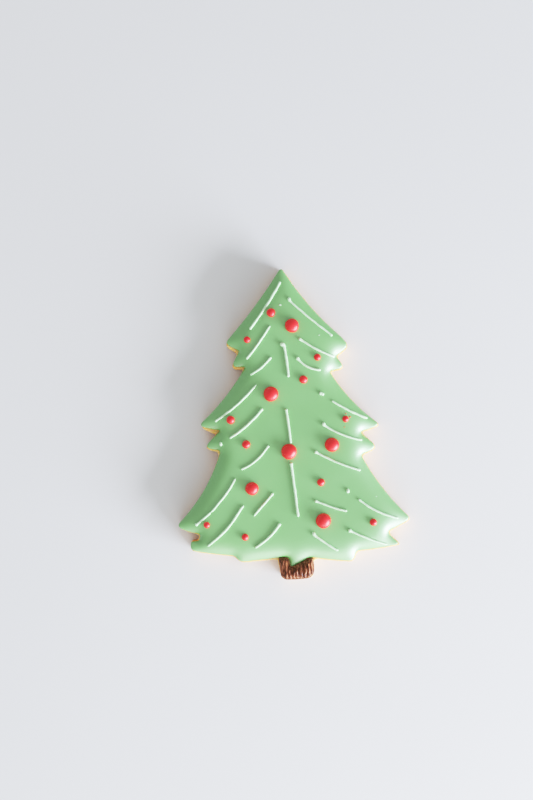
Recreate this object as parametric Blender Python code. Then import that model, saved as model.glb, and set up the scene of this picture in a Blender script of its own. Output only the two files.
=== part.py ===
"""An iced sugar cookie in the shape of a fir tree, lying flat with its iced side up.

Metres, +Z up, +Y from the foot of the trunk to the apex, origin under the middle of the biscuit.
The biscuit is a rounded slab cut with a tree cutter. A poured layer of green icing covers the tree,
with pale needles and red baubles piped on it, and a ribbed layer of brown icing covers the trunk.
Outlines are drawn in millimetres from the foot of the trunk, as a hand-iced cookie is uneven.
"""

import math

import bmesh
import bpy
import numpy as np
from mathutils.geometry import delaunay_2d_cdt

MM = 0.001

# Heights, in millimetres
BISCUIT_HEIGHT = 6.0
BISCUIT_ROUNDING = 0.8
ICING_DEPTH = 2.35
ICING_LIP = 0.3
BARK_DEPTH = 1.9
BARK_LIP = 0.4
CLEARANCE = 0.3

# How far from its edge a poured layer needs to reach most of its depth, and how blunt the edge is
ICING_SPREAD = 2.6
BARK_SPREAD = 0.8
EDGE_BLUNTNESS = 0.75

# The biscuit shows as a rim round the icing
RIM = 0.55

# The ribs of the brown icing, drawn out along the trunk
RIB_PITCH = 1.25
RIB_DEPTH = 0.45

# Mesh spacings
BISCUIT_SPACING = 2.6
ICING_SPACING = 1.9
CORNER_STEPS = 3
ICING_INSETS = (0.5, 1.4, 3.0)
ICING_GRID = 4.5
BARK_SPACING = 0.9
BARK_GRID = (RIB_PITCH / 4, 1.1)
BARK_MARGIN = 0.25
WALL_SPACING = 0.25

# A corner is x, y, softness, bow. Softness is how far before and after it the corner is rounded.
# Bow is how far the side that follows swells out, or hollows in where it is negative.
# Corners run clockwise, seen from above.
APEX = (0.0, 101.3, 1.2, -1.1)
RIGHT_BOUGHS = (
    # tip, the notch under it, the twig's tip, and the crook under the twig
    ((20.6, 75.3, 1.3, 0.2), (16.5, 71.9, 0.8, 0.1), (18.8, 68.3, 1.3, 0.1), (14.2, 67.1, 0.8, -1.2)),
    ((29.6, 48.9, 1.3, 0.1), (23.3, 46.7, 0.9, 0.1), (28.2, 41.9, 1.4, 0.2), (23.2, 39.3, 1.0, -1.1)),
    ((38.2, 17.7, 1.3, 0.1), (30.6, 13.7, 1.3, -0.2), (34.4, 9.7, 1.4, 0.2), (20.2, 7.9, 1.0, 0.1)),
)
LEFT_BOUGHS = (
    # the same four from the bottom up: the crook or hem, the twig's tip, the notch, and the tip
    ((-19.7, 8.2, 1.0, 0.2), (-34.4, 11.3, 1.6, 0.3), (-30.2, 14.6, 1.2, 0.6), (-38.0, 18.8, 1.3, -1.9)),
    ((-22.6, 42.9, 1.2, 0.2), (-27.5, 44.2, 1.4, 0.1), (-22.3, 49.4, 0.9, 0.2), (-29.0, 51.4, 1.3, -1.0)),
    ((-13.2, 69.8, 0.8, 0.1), (-17.4, 70.1, 1.3, 0.1), (-14.9, 75.1, 0.9, 0.1), (-19.2, 77.8, 1.3, -0.7)),
)
HEM_RIGHT = ((18.9, 4.6, 1.4, 0.2),)
HEM_LEFT = ((-17.8, 6.0, 1.4, 0.1),)
ICING_DRIP = ((5.2, 6.6, 1.0, 0.1), (-1.6, 3.5, 0.9, -0.3), (-2.4, 7.0, 0.9, 0.0))
TRUNK = ((6.9, 6.2, 0.4, 0.0), (6.1, -0.5, 1.2, 0.1), (-4.7, -0.3, 1.2, 0.0), (-5.6, 6.6, 0.4, 0.0))

# The icing stops short of one notch on the left, where the cutter bit deeper and the biscuit shows
BARE_NOTCH = (-22.7, 48.5, 0.5, 0.2)
BARK = (
    (-5.4, 6.5, 0.5, 0.0),
    (-2.8, 6.4, 0.5, 0.0),
    (-1.9, 2.9, 0.6, 0.0),
    (4.9, 5.9, 0.5, 0.0),
    (6.1, 5.9, 0.6, 0.0),
    (6.0, 1.7, 1.0, 0.0),
    (4.7, 0.0, 0.9, 0.1),
    (-3.6, -0.5, 0.7, 0.0),
    (-4.9, 0.8, 0.6, 0.0),
)

# Needles, piped from the first point to the last: x, y to x, y, then how far the middle bows to the
# left of that way, and the width. They run from the top of the tree down, left of the middle first.
NEEDLES = (
    (-0.4, 97.0, -11.2, 81.8, 0.4, 0.8),
    (-4.5, 82.7, -12.8, 72.2, 0.3, 0.7),
    (-4.6, 72.5, -11.8, 67.0, 0.5, 0.7),
    (-9.8, 63.8, -24.0, 52.4, 0.7, 0.7),
    (-8.2, 55.9, -19.4, 46.7, 0.6, 0.8),
    (-6.8, 43.9, -16.2, 36.4, 1.0, 0.7),
    (-18.4, 33.2, -32.0, 18.9, 1.1, 0.7),
    (-16.4, 24.4, -28.4, 11.9, 1.0, 0.8),
    (-6.1, 28.3, -12.8, 21.1, 0.0, 0.7),
    (-4.3, 18.4, -12.9, 10.7, 0.7, 0.8),
    (-0.5, 77.0, 0.7, 65.7, 0.2, 0.9),
    (-0.3, 55.5, 0.7, 44.1, 0.0, 0.8),
    (0.3, 37.5, 1.8, 20.2, 0.0, 0.9),
    (1.6, 91.2, 15.7, 78.5, -0.3, 0.65),
    (4.6, 78.1, 16.2, 71.5, -0.4, 0.7),
    (3.6, 72.1, 11.4, 67.5, -1.1, 0.7),
    (10.4, 60.2, 12.0, 59.4, 0.0, 0.8),
    (14.3, 57.4, 25.9, 51.1, -0.4, 0.7),
    (10.9, 50.1, 23.8, 44.1, -0.9, 0.7),
    (8.0, 41.2, 22.7, 34.2, -0.5, 0.7),
    (21.4, 25.0, 34.4, 18.0, -0.9, 0.7),
    (7.2, 25.2, 17.6, 21.2, -0.2, 0.7),
    (17.7, 15.2, 30.4, 9.5, -0.3, 0.7),
    (6.1, 14.5, 14.2, 8.5, -0.3, 0.7),
)
NEEDLE_SINK = 0.2
NEEDLE_SPACING = 2.6

# How many times its width a needle has at the blob where it starts, and at its tail
NEEDLE_HEAD = 1.35
NEEDLE_TAIL = 0.85

# Baubles and the two pale drops: x, y, width. A small one was piped to a peak, so it is taller for its
# width.
BAUBLES = (
    (-4.0, 87.0, 3.0),
    (2.6, 82.6, 4.7),
    (-12.2, 78.6, 2.2),
    (10.4, 71.8, 2.3),
    (5.5, 64.8, 2.7),
    (-5.3, 60.7, 4.8),
    (-18.8, 52.8, 2.8),
    (18.6, 51.3, 2.3),
    (-14.1, 44.6, 2.6),
    (13.7, 43.2, 4.7),
    (-0.3, 41.7, 5.1),
    (9.6, 31.1, 2.5),
    (-12.9, 30.2, 4.1),
    (-28.2, 19.1, 2.1),
    (9.8, 18.7, 4.9),
    (26.0, 17.4, 2.4),
    (-15.9, 14.6, 2.4),
)
DROPS = ((-22.4, 45.0, 1.2), (18.2, 27.8, 1.3))
LARGE_DOT = 4.5

# The height of a dot for its width, then how far above the icing it is widest, and how deep it is rooted
LARGE_DOT_HEIGHT = 0.48
SMALL_DOT_HEIGHT = 0.62
DOT_WAIST = 0.15
DOT_ROOT = 0.6

# The plane that both layers of icing lie on
ICING_FLOOR = BISCUIT_HEIGHT + CLEARANCE


def tree_corners(foot):
    """The corners of the tree, clockwise from the apex, with what lies between the two hems."""
    corners = [APEX]
    for bough in RIGHT_BOUGHS:
        corners += bough
    corners += HEM_RIGHT + foot + HEM_LEFT
    for bough in LEFT_BOUGHS:
        corners += bough
    return corners


def biscuit_corners():
    """The corners of the biscuit: the tree with its trunk and its bare notch, moved out by the rim."""
    corners = tree_corners(TRUNK)
    corners[corners.index(LEFT_BOUGHS[1][2])] = BARE_NOTCH
    return outset(corners, RIM)


def side(start, end, bow, share):
    """A point on the bowed side from start to end, at that share of its way. Left of the way is outside."""
    way = end - start
    outward = np.array([-way[1], way[0]]) / np.hypot(*way)
    return start + share * way + 4 * bow * share * (1 - share) * outward


def outset(corners, distance):
    """The corners moved outwards, so that every side moves by that distance, and blunted as dough is."""
    places = np.array([corner[:2] for corner in corners])
    moved = []
    for i, (_, _, softness, bow) in enumerate(corners):
        before, here, after = places[i - 1], places[i], places[(i + 1) % len(corners)]
        arriving = here - side(before, here, corners[i - 1][3], 0.98)
        leaving = side(here, after, bow, 0.02) - here
        normals = [np.array([-way[1], way[0]]) / np.hypot(*way) for way in (arriving, leaving)]
        mitre = (normals[0] + normals[1]) / (1 + normals[0] @ normals[1])
        x, y = here + distance * mitre
        moved.append((x, y, softness + distance, bow))
    return moved


def rounded_outline(corners, spacing, corner_steps=CORNER_STEPS):
    """The closed outline as an array of points, clockwise: bowed sides joined by rounded corners."""
    count = len(corners)
    places = np.array([corner[:2] for corner in corners])
    lengths = [np.hypot(*(places[(i + 1) % count] - places[i])) for i in range(count)]
    points = []
    for i, (_, _, softness, bow) in enumerate(corners):
        before, here, after = places[i - 1], places[i], places[(i + 1) % count]
        trim_in = min(softness, 0.45 * lengths[i - 1]) / lengths[i - 1]
        trim_out = min(softness, 0.45 * lengths[i]) / lengths[i]
        enter = side(before, here, corners[i - 1][3], 1 - trim_in)
        leave = side(here, after, bow, trim_out)
        for t in np.linspace(0, 1, corner_steps + 1):
            points.append((1 - t) ** 2 * enter + 2 * t * (1 - t) * here + t**2 * leave)
        next_trim = min(corners[(i + 1) % count][2], 0.45 * lengths[i]) / lengths[i]
        steps = max(1, round(lengths[i] * (1 - trim_out - next_trim) / spacing))
        for share in np.linspace(trim_out, 1 - next_trim, steps + 1)[1:-1]:
            points.append(side(here, after, bow, share))
    return np.array(points)


def edge_depth(points, outline):
    """How deep each point lies inside the outline: the distance to the edge, smoothed so that no ridge
    forms along the middle of a bough. It is the mean over all directions of the way to the edge, to the
    power -3, which a sum over the edge gives."""
    power = 3
    ends = np.roll(outline, -1, axis=0)
    mids, ways = (outline + ends) / 2, ends - outline
    normals = np.stack([-ways[:, 1], ways[:, 0]], axis=1)
    total = np.zeros(len(points))
    for mid, normal in zip(mids, normals):
        reach = mid - points
        squared = np.maximum((reach**2).sum(axis=1), 1e-6)
        total += reach @ normal / squared ** (1 + power / 2)
    straight_edge = math.gamma(1 + power / 2) / (math.sqrt(math.pi) * math.gamma((1 + power) / 2))
    return np.maximum(straight_edge * total, 1e-9) ** (-1 / power)


def resampled(outline, spacing):
    """The closed outline with more points on it, at most that far apart."""
    points = []
    for start, end in zip(outline, np.roll(outline, -1, axis=0)):
        steps = max(1, math.ceil(np.hypot(*(end - start)) / spacing))
        points += [start + (end - start) * i / steps for i in range(steps)]
    return np.array(points)


def wall_distance(points, outline):
    """The plain distance from each point to the outline."""
    wall = resampled(outline, WALL_SPACING)
    return np.array([np.sqrt(((wall - point) ** 2).sum(axis=1).min()) for point in points])


def filling(points, outline, spread):
    """How full a poured layer is at each point: 0 on its outline, then rising to 1 well inside, steeply at
    first, as surface tension rounds the edge of a drop."""
    depth = edge_depth(points, resampled(outline, WALL_SPACING))
    depth[wall_distance(points, outline) < 0.5 * WALL_SPACING] = 0
    return (1 - np.exp(-depth / spread)) ** EDGE_BLUNTNESS


def is_inside(points, outline):
    """Whether each point lies inside the outline, by counting the sides that a ray to +X crosses."""
    crossings = np.zeros(len(points), int)
    for (x0, y0), (x1, y1) in zip(outline, np.roll(outline, -1, axis=0)):
        spans = (y0 > points[:, 1]) != (y1 > points[:, 1])
        rise = y1 - y0 if y1 != y0 else 1e-12
        crossings += spans & (points[:, 0] < x0 + (points[:, 1] - y0) * (x1 - x0) / rise)
    return crossings % 2 == 1


def inset_rings(outline, insets):
    """Points that follow the outline at each inset, left out where a narrow tip has no room for them."""
    ways = np.roll(outline, -1, axis=0) - np.roll(outline, 1, axis=0)
    inward = np.stack([ways[:, 1], -ways[:, 0]], axis=1) / np.hypot(*ways.T)[:, None]
    rings = []
    for number, inset in enumerate(insets):
        ring = (outline + inset * inward)[:: number + 1]
        ring = ring[is_inside(ring, outline)]
        rings.append(ring[wall_distance(ring, outline) > 0.9 * inset])
    return np.concatenate(rings)


def grid_inside(outline, step_x, step_y, margin):
    """A staggered grid of points inside the outline, at least that margin from it."""
    low, high = outline.min(axis=0), outline.max(axis=0)
    points = []
    for row, y in enumerate(np.arange(low[1], high[1], step_y)):
        for x in np.arange(low[0] + (row % 2) * step_x / 2, high[0], step_x):
            points.append((x, y))
    points = np.array(points)
    points = points[is_inside(points, outline)]
    return points[wall_distance(points, outline) > margin]


def material(name, colour, roughness):
    """A Principled BSDF with that colour and roughness."""
    made = bpy.data.materials.new(name)
    made.use_nodes = True
    shader = made.node_tree.nodes["Principled BSDF"]
    shader.inputs["Base Color"].default_value = (*colour, 1)
    shader.inputs["Roughness"].default_value = roughness
    shader.inputs["Metallic"].default_value = 0
    return made


def add_object(name, mesh, finish, collection):
    """A named object with that mesh and material."""
    mesh.materials.clear()
    mesh.materials.append(finish)
    made = bpy.data.objects.new(name, mesh)
    collection.objects.link(made)
    return made


def mesh_of_curve(curve, name):
    """The closed mesh of a curve, its caps welded. The curve is removed."""
    holder = bpy.data.objects.new(name, curve)
    bpy.context.scene.collection.objects.link(holder)
    graph = bpy.context.evaluated_depsgraph_get()
    mesh = bpy.data.meshes.new_from_object(holder.evaluated_get(graph))
    bpy.data.objects.remove(holder)
    bpy.data.curves.remove(curve)
    welded = bmesh.new()
    welded.from_mesh(mesh)
    bmesh.ops.remove_doubles(welded, verts=welded.verts, dist=0.01 * MM)
    bmesh.ops.recalc_face_normals(welded, faces=welded.faces)
    welded.to_mesh(mesh)
    welded.free()
    mesh.name = name
    return mesh


def rounded_slab(name, outline, height, rounding):
    """A slab standing on z = 0, from a flat outline extruded and bevelled inside its own edge."""
    curve = bpy.data.curves.new(name, "CURVE")
    curve.dimensions = "2D"
    curve.fill_mode = "BOTH"
    curve.extrude = (height / 2 - rounding) * MM
    curve.bevel_depth = rounding * MM
    curve.bevel_resolution = 1
    curve.offset = -rounding * MM
    spline = curve.splines.new("POLY")
    spline.points.add(len(outline) - 1)
    for point, (x, y) in zip(spline.points, outline):
        point.co = (x * MM, y * MM, 0, 1)
    spline.use_cyclic_u = True
    mesh = mesh_of_curve(curve, name)
    for vertex in mesh.vertices:
        vertex.co.z += height / 2 * MM
    return mesh


def poured_layer(name, outline, inner_points, height_at):
    """A layer of icing on a flat floor: its edge is the outline, its top at height_at over the floor."""
    places = np.concatenate([outline, inner_points])
    edges = [(i, (i + 1) % len(outline)) for i in range(len(outline))]
    flat, _, triangles, _, _, _ = delaunay_2d_cdt([tuple(p) for p in places], edges, [], 1, 1e-5)
    flat = np.array([tuple(p) for p in flat])
    heights = height_at(flat)
    layer = bmesh.new()
    top = [layer.verts.new((x * MM, y * MM, (ICING_FLOOR + z) * MM)) for (x, y), z in zip(flat, heights)]
    for corners in triangles:
        layer.faces.new([top[i] for i in corners])
    rim = [edge for edge in layer.edges if edge.is_boundary]
    skirt = bmesh.ops.extrude_edge_only(layer, edges=rim)["geom"]
    for vertex in (item for item in skirt if isinstance(item, bmesh.types.BMVert)):
        vertex.co.z = ICING_FLOOR * MM
    underside = [edge for edge in layer.edges if edge.is_boundary]
    bmesh.ops.contextual_create(layer, geom=underside)
    bmesh.ops.recalc_face_normals(layer, faces=layer.faces)
    mesh = bpy.data.meshes.new(name)
    layer.to_mesh(mesh)
    layer.free()
    return mesh


def piped_line(name, needle, height_at):
    """One needle: a round bead of icing laid on the surface, with a blob where it starts and a thin tail."""
    x0, y0, x1, y1, bow, width = needle
    start, end = np.array([x0, y0]), np.array([x1, y1])
    steps = max(2, round(np.hypot(*(end - start)) / NEEDLE_SPACING))
    shares = np.linspace(0, 1, steps + 1)
    route = np.array([side(start, end, bow, share) for share in shares])
    heights = ICING_FLOOR + height_at(route) + width / 2 - NEEDLE_SINK
    curve = bpy.data.curves.new(name, "CURVE")
    curve.dimensions = "3D"
    curve.bevel_depth = width / 2 * MM
    curve.bevel_resolution = 1
    curve.use_fill_caps = True
    spline = curve.splines.new("POLY")
    spline.points.add(steps)
    for point, share, (x, y), z in zip(spline.points, shares, route, heights):
        point.co = (x * MM, y * MM, z * MM, 1)
        point.radius = 1 + (NEEDLE_HEAD - 1) * max(0, 1 - 4 * share) - (1 - NEEDLE_TAIL) * share
    return mesh_of_curve(curve, name)


def piped_dot(name, x, y, width, height_at):
    """One bauble or drop: a dome that is widest a little above the surface, with a short root in it."""
    large = min(1, width / LARGE_DOT)
    height = width * (SMALL_DOT_HEIGHT + (LARGE_DOT_HEIGHT - SMALL_DOT_HEIGHT) * large)
    waist = ICING_FLOOR + height_at(np.array([(x, y)]))[0] + DOT_WAIST
    ball = bmesh.new()
    bmesh.ops.create_uvsphere(ball, u_segments=12, v_segments=6, radius=width / 2 * MM)
    for vertex in ball.verts:
        reach = height - DOT_WAIST if vertex.co.z > 0 else DOT_ROOT
        vertex.co.z *= reach / (width / 2)
    bmesh.ops.translate(ball, verts=ball.verts, vec=(x * MM, y * MM, waist * MM))
    mesh = bpy.data.meshes.new(name)
    ball.to_mesh(mesh)
    ball.free()
    return mesh


def fuse(base, pieces, name):
    """Joins the pieces to the base with one Boolean union that keeps their materials, and removes them."""
    group = bpy.data.collections.new(name)
    bpy.context.scene.collection.children.link(group)
    for mesh, finish in pieces:
        add_object(mesh.name, mesh, finish, group)
    union = base.modifiers.new(name, "BOOLEAN")
    union.operation = "UNION"
    union.operand_type = "COLLECTION"
    union.collection = group
    union.solver = "EXACT"
    union.material_mode = "TRANSFER"
    graph = bpy.context.evaluated_depsgraph_get()
    joined = bpy.data.meshes.new_from_object(base.evaluated_get(graph))
    base.modifiers.remove(union)
    base.data = joined
    for piece in list(group.objects):
        bpy.data.objects.remove(piece)
    bpy.data.collections.remove(group)


def make_biscuit(outline, collection):
    """The rounded slab of baked dough."""
    golden = material("baked_biscuit", (0.72, 0.46, 0.19), 0.85)
    slab = rounded_slab("biscuit", outline, BISCUIT_HEIGHT, BISCUIT_ROUNDING)
    return add_object("biscuit", slab, golden, collection)


def make_green_icing(collection):
    """The poured green icing, with the needles, baubles and drops that are piped on it."""
    green = material("green_icing", (0.38, 0.64, 0.34), 0.4)
    mint = material("pale_piping", (0.68, 0.86, 0.68), 0.4)
    red = material("red_icing", (0.66, 0.01, 0.02), 0.3)
    outline = rounded_outline(tree_corners(ICING_DRIP), ICING_SPACING)
    rings = inset_rings(outline, ICING_INSETS)
    grid = grid_inside(outline, ICING_GRID, ICING_GRID * 0.87, max(ICING_INSETS) + 1)

    def height_at(points):
        return ICING_LIP + (ICING_DEPTH - ICING_LIP) * filling(points, outline, ICING_SPREAD)

    layer = poured_layer("green_icing", outline, np.concatenate([rings, grid]), height_at)
    icing = add_object("green_icing", layer, green, collection)
    piped = [(piped_line(f"needle_{i}", needle, height_at), mint) for i, needle in enumerate(NEEDLES)]
    piped += [(piped_dot(f"bauble_{i}", *bauble, height_at), red) for i, bauble in enumerate(BAUBLES)]
    piped += [(piped_dot(f"drop_{i}", *drop, height_at), mint) for i, drop in enumerate(DROPS)]
    fuse(icing, piped, "piped_on_icing")
    return icing


def make_trunk_icing(collection):
    """The brown icing on the trunk, its top drawn into ribs that run along the trunk."""
    brown = material("brown_icing", (0.12, 0.04, 0.02), 0.45)
    outline = rounded_outline(BARK, BARK_SPACING, 2)
    grid = grid_inside(outline, *BARK_GRID, BARK_MARGIN)

    def height_at(points):
        fill = filling(points, outline, BARK_SPREAD)
        ribs = RIB_DEPTH * np.abs(np.sin(math.pi * points[:, 0] / RIB_PITCH))
        return BARK_LIP + (BARK_DEPTH - BARK_LIP - RIB_DEPTH + ribs) * fill

    layer = poured_layer("trunk_icing", outline, grid, height_at)
    return add_object("trunk_icing", layer, brown, collection)


def main():
    for leftover in list(bpy.data.objects):
        bpy.data.objects.remove(leftover)
    cookie = bpy.data.collections.new("iced_cookie")
    bpy.context.scene.collection.children.link(cookie)
    biscuit_outline = rounded_outline(biscuit_corners(), BISCUIT_SPACING)
    middle = (biscuit_outline.min(axis=0) + biscuit_outline.max(axis=0)) / 2
    for piece in (make_biscuit(biscuit_outline, cookie), make_green_icing(cookie), make_trunk_icing(cookie)):
        piece.location = (-middle[0] * MM, -middle[1] * MM, 0)
        piece.data.shade_smooth()
        piece.data.set_sharp_from_angle(angle=math.radians(40))


main()
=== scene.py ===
# %% [markdown]
# # An iced sugar cookie in the shape of a fir tree
# This lesson dresses the plain solids of a cookie. The solids give its size and place, and the script
# adds what an eye would miss on them: crumb, the swell of the icing, piping laid by hand, and the light of
# a window. Lengths are written in millimetres from the foot of the trunk, as on a paper pattern, and
# become metres last.

# %% The frame
import math

import bpy
import numpy as np
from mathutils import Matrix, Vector, noise
from mathutils.bvhtree import BVHTree
from mathutils.geometry import delaunay_2d_cdt


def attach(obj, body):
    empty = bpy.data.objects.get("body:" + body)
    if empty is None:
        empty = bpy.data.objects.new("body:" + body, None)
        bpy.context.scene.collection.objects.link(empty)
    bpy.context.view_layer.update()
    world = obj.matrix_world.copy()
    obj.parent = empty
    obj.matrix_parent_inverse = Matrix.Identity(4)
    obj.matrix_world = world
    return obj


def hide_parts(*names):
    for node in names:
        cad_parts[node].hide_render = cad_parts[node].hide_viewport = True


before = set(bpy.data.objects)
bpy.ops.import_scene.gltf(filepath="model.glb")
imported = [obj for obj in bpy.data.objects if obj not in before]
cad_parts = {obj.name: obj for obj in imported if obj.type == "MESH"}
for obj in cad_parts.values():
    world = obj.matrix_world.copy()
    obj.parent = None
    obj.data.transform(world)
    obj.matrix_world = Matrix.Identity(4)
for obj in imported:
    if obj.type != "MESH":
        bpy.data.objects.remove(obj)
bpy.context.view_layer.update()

MM = 0.001

# %% [markdown]
# ## The cutter
# The biscuit was cut with a metal tree cutter, and the icing follows the same line a little further in. So
# one line serves both. It could be traced point by point, but a cutter is bent from a strip: gentle bows
# between rounded corners. So only the corners are written down, each with its softness and the bow of the
# side after it.

# %% The corners of the tree
# A corner is x, y, softness, bow. Softness is how far before and after it the corner is rounded.
# Bow is how far the side that follows swells out, or hollows in where it is negative.
# Corners run clockwise, seen from above.
APEX = (0.0, 101.9, 1.7, -1.15)
RIGHT_BOUGHS = (
    # Each is a tip, the notch under it, the twig's tip, and the crook under the twig.
    # The first tip is broad, with a shoulder before it, so it takes two corners.
    ((18.3, 78.5, 1.5, 0.1), (20.8, 75.2, 1.6, 0.2), (16.5, 71.9, 0.9, 0.1), (19.1, 68.1, 1.8, 0.1),
     (14.2, 67.1, 0.9, -1.2)),
    ((30.0, 48.8, 1.9, 0.1), (23.3, 46.7, 1.0, 0.1), (28.5, 41.6, 2.0, 0.2), (23.2, 39.3, 1.1, -1.1)),
    ((38.6, 17.6, 1.9, 0.1), (30.6, 13.7, 1.4, -0.2), (34.8, 9.4, 2.0, 0.2), (20.2, 7.9, 1.0, 0.1)),
)
LEFT_BOUGHS = (
    # Each is the same from the bottom up: the crook or hem, the twig's tip, the notch, and the tip.
    # The lowest twig has a square shoulder, and the notch over it is round, so both take two corners.
    ((-19.7, 8.2, 1.0, 0.2), (-34.0, 10.6, 1.8, 0.1), (-33.7, 13.5, 0.7, 0.0), (-31.0, 13.6, 0.8, 0.1),
     (-30.4, 15.8, 1.1, 0.4), (-38.4, 18.7, 2.0, -1.9)),
    ((-22.6, 42.9, 1.2, 0.2), (-27.8, 44.1, 2.0, 0.1), (-22.3, 49.4, 0.9, 0.2), (-29.5, 51.3, 2.0, -1.0)),
    ((-13.2, 69.8, 0.8, 0.1), (-17.7, 70.0, 1.9, 0.1), (-14.9, 75.1, 0.9, 0.1), (-19.6, 77.8, 1.9, -0.7)),
)
HEM_RIGHT = ((18.9, 4.6, 1.4, 0.2),)
HEM_LEFT = ((-17.8, 6.0, 1.4, 0.1),)
ICING_DRIP = ((5.2, 6.6, 1.0, 0.1), (-1.6, 3.5, 0.9, -0.3), (-2.4, 7.0, 0.9, 0.0))


def tree_corners(foot, left_boughs=LEFT_BOUGHS):
    """The corners of the tree, clockwise from the apex, with that foot between the two hems."""
    corners = [APEX]
    for bough in RIGHT_BOUGHS:
        corners += bough
    corners += HEM_RIGHT + foot + HEM_LEFT
    for bough in left_boughs:
        corners += bough
    return corners


icing_corners = tree_corners(ICING_DRIP)
print("corners of the icing:", len(icing_corners))

# %% [markdown]
# ## Bowed sides and rounded corners
# A strip of metal bends in bows, not in circles, so each side is a parabola through its two corners. Each
# corner is rounded by a second, shorter curve between the points where the rounding starts and ends. A
# Bezier curve object would give much the same line, but here its points are needed as numbers, to measure
# from it and to build meshes inside it.

# %% From corners to a line
LONGEST_TRIM = 0.45  # of a side's length, so that the roundings at its two ends never meet
CORNER_STEPS = 9


def side(start, end, bow, share):
    """A point on the bowed side from start to end, at that share of its length. Left of the way is outside."""
    way = end - start
    outward = np.array([-way[1], way[0]]) / np.hypot(*way)
    return start + share * way + 4 * bow * share * (1 - share) * outward


def trim(softness, length):
    """The share of a side's length that the rounding of one of its corners takes."""
    return min(softness, LONGEST_TRIM * length) / length


def rounded_line(corners, spacing, corner_steps=CORNER_STEPS):
    """The closed line as an array of points, clockwise: bowed sides joined by rounded corners."""
    count = len(corners)
    places = np.array([corner[:2] for corner in corners])
    lengths = [np.hypot(*(places[(i + 1) % count] - places[i])) for i in range(count)]
    points = []
    for i, (_, _, softness, bow) in enumerate(corners):
        before, here, after = places[i - 1], places[i], places[(i + 1) % count]
        first_share = trim(softness, lengths[i])
        last_share = 1 - trim(corners[(i + 1) % count][2], lengths[i])
        enter = side(before, here, corners[i - 1][3], 1 - trim(softness, lengths[i - 1]))
        leave = side(here, after, bow, first_share)
        for t in np.linspace(0, 1, corner_steps + 1):
            points.append((1 - t) ** 2 * enter + 2 * t * (1 - t) * here + t**2 * leave)
        steps = max(1, round(lengths[i] * (last_share - first_share) / spacing))
        for share in np.linspace(first_share, last_share, steps + 1)[1:-1]:
            points.append(side(here, after, bow, share))
    return np.array(points)


LINE_SPACING = 0.4
icing_line = rounded_line(icing_corners, LINE_SPACING)
print("icing:", np.ptp(icing_line, axis=0).round(1), "mm")

# %% [markdown]
# ## The rim
# The biscuit shows round the icing as a thin rim, and a hand never pours evenly: the rim is wide on one
# side and hidden on the other, and some notches are left bare. Scaling the icing's line up would make the
# rim widest at the tips. Moving every side outwards keeps it even, and a small slip then makes it uneven.

# %% The biscuit's line
TRUNK = (
    (6.9, 6.2, 0.4, 0.0),
    (5.9, 5.2, 0.5, 0.0),
    (5.4, 0.1, 1.2, 0.1),
    (-4.7, 0.15, 1.2, 0.0),
    (-5.6, 6.6, 0.4, 0.0),
)
# On the left the dough filled the cutter's notches a little, and the icing stopped short of it there.
# So these corners of the biscuit are further out than the icing's: which bough, which corner, how far
# in x and y.
BARE_NOTCHES = (
    (0, 2, -0.1, -0.1),
    (0, 3, -0.4, -0.1),
    (0, 4, -0.2, 0.1),
    (0, 5, 0.3, 0.1),
    (1, 0, -0.3, -0.3),
    (1, 2, -0.9, -1.2),
    (1, 3, 0.5, -0.2),
    (2, 0, -0.3, -0.4),
    (2, 1, -0.1, -0.3),
    (2, 2, -0.5, -0.5),
    (2, 3, -0.1, -0.3),
)
RIM = 0.29  # how far the biscuit shows round the icing, on average
SLIP = (0.12, -0.22)  # the icing was poured a little too near the apex and too far left
NEAR_CORNER = 0.02  # share of a side after which its direction at the corner is read


def outset(corners, distance):
    """The corners moved outwards, so that every side moves by that distance, and blunted as dough is."""
    places = np.array([corner[:2] for corner in corners])
    moved = []
    for i, (_, _, softness, bow) in enumerate(corners):
        before, here, after = places[i - 1], places[i], places[(i + 1) % len(corners)]
        arriving = here - side(before, here, corners[i - 1][3], 1 - NEAR_CORNER)
        leaving = side(here, after, bow, NEAR_CORNER) - here
        normals = [np.array([-way[1], way[0]]) / np.hypot(*way) for way in (arriving, leaving)]
        mitre = (normals[0] + normals[1]) / (1 + normals[0] @ normals[1])
        x, y = here + distance * mitre
        moved.append((x, y, softness + distance, bow))
    return moved


filled_boughs = [list(bough) for bough in LEFT_BOUGHS]
for bough, corner, further_x, further_y in BARE_NOTCHES:
    x, y, softness, bow = filled_boughs[bough][corner]
    filled_boughs[bough][corner] = (x + further_x, y + further_y, softness, bow)
biscuit_line = rounded_line(outset(tree_corners(TRUNK, filled_boughs), RIM), LINE_SPACING) + SLIP
print("biscuit:", np.ptp(biscuit_line, axis=0).round(1), "mm")

# %% [markdown]
# ## From the pattern to the frame
# The frame's origin lies under the middle of the solid biscuit, and it counts in metres. Every piece could
# be modelled in metres from the start, but thousandths are hard to read. So one function turns places on
# the pattern into places in the frame, and every piece of the cookie and the camera go through it.

# %% Millimetres to metres
MIDDLE = (0.125, 50.258)  # of the solid biscuit's box, on the pattern


def in_metres(points):
    """Pattern places in millimetres, x, y, z, as places in the frame, whose origin is under the middle."""
    return (np.asarray(points, float) - (*MIDDLE, 0)) * MM


print("apex of the pattern in the frame:", in_metres((*APEX[:2], 0)).round(4), "m")

# %% [markdown]
# ## The camera
# The cookie is seen from straight above, with a lens of 50 mm about 370 mm over the table. The picture is
# a little turned against the tree. A camera could be aimed with a constraint, but looking straight down it
# has no rotation of its own, so one turn about Z is the whole aim.

# %% Camera
LENS = 50
SENSOR_HEIGHT = 36
CAMERA_HEIGHT = 370.2
CAMERA_OVER = (-6.8, 58.6)
CAMERA_TURN = math.radians(-2.779)

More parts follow.
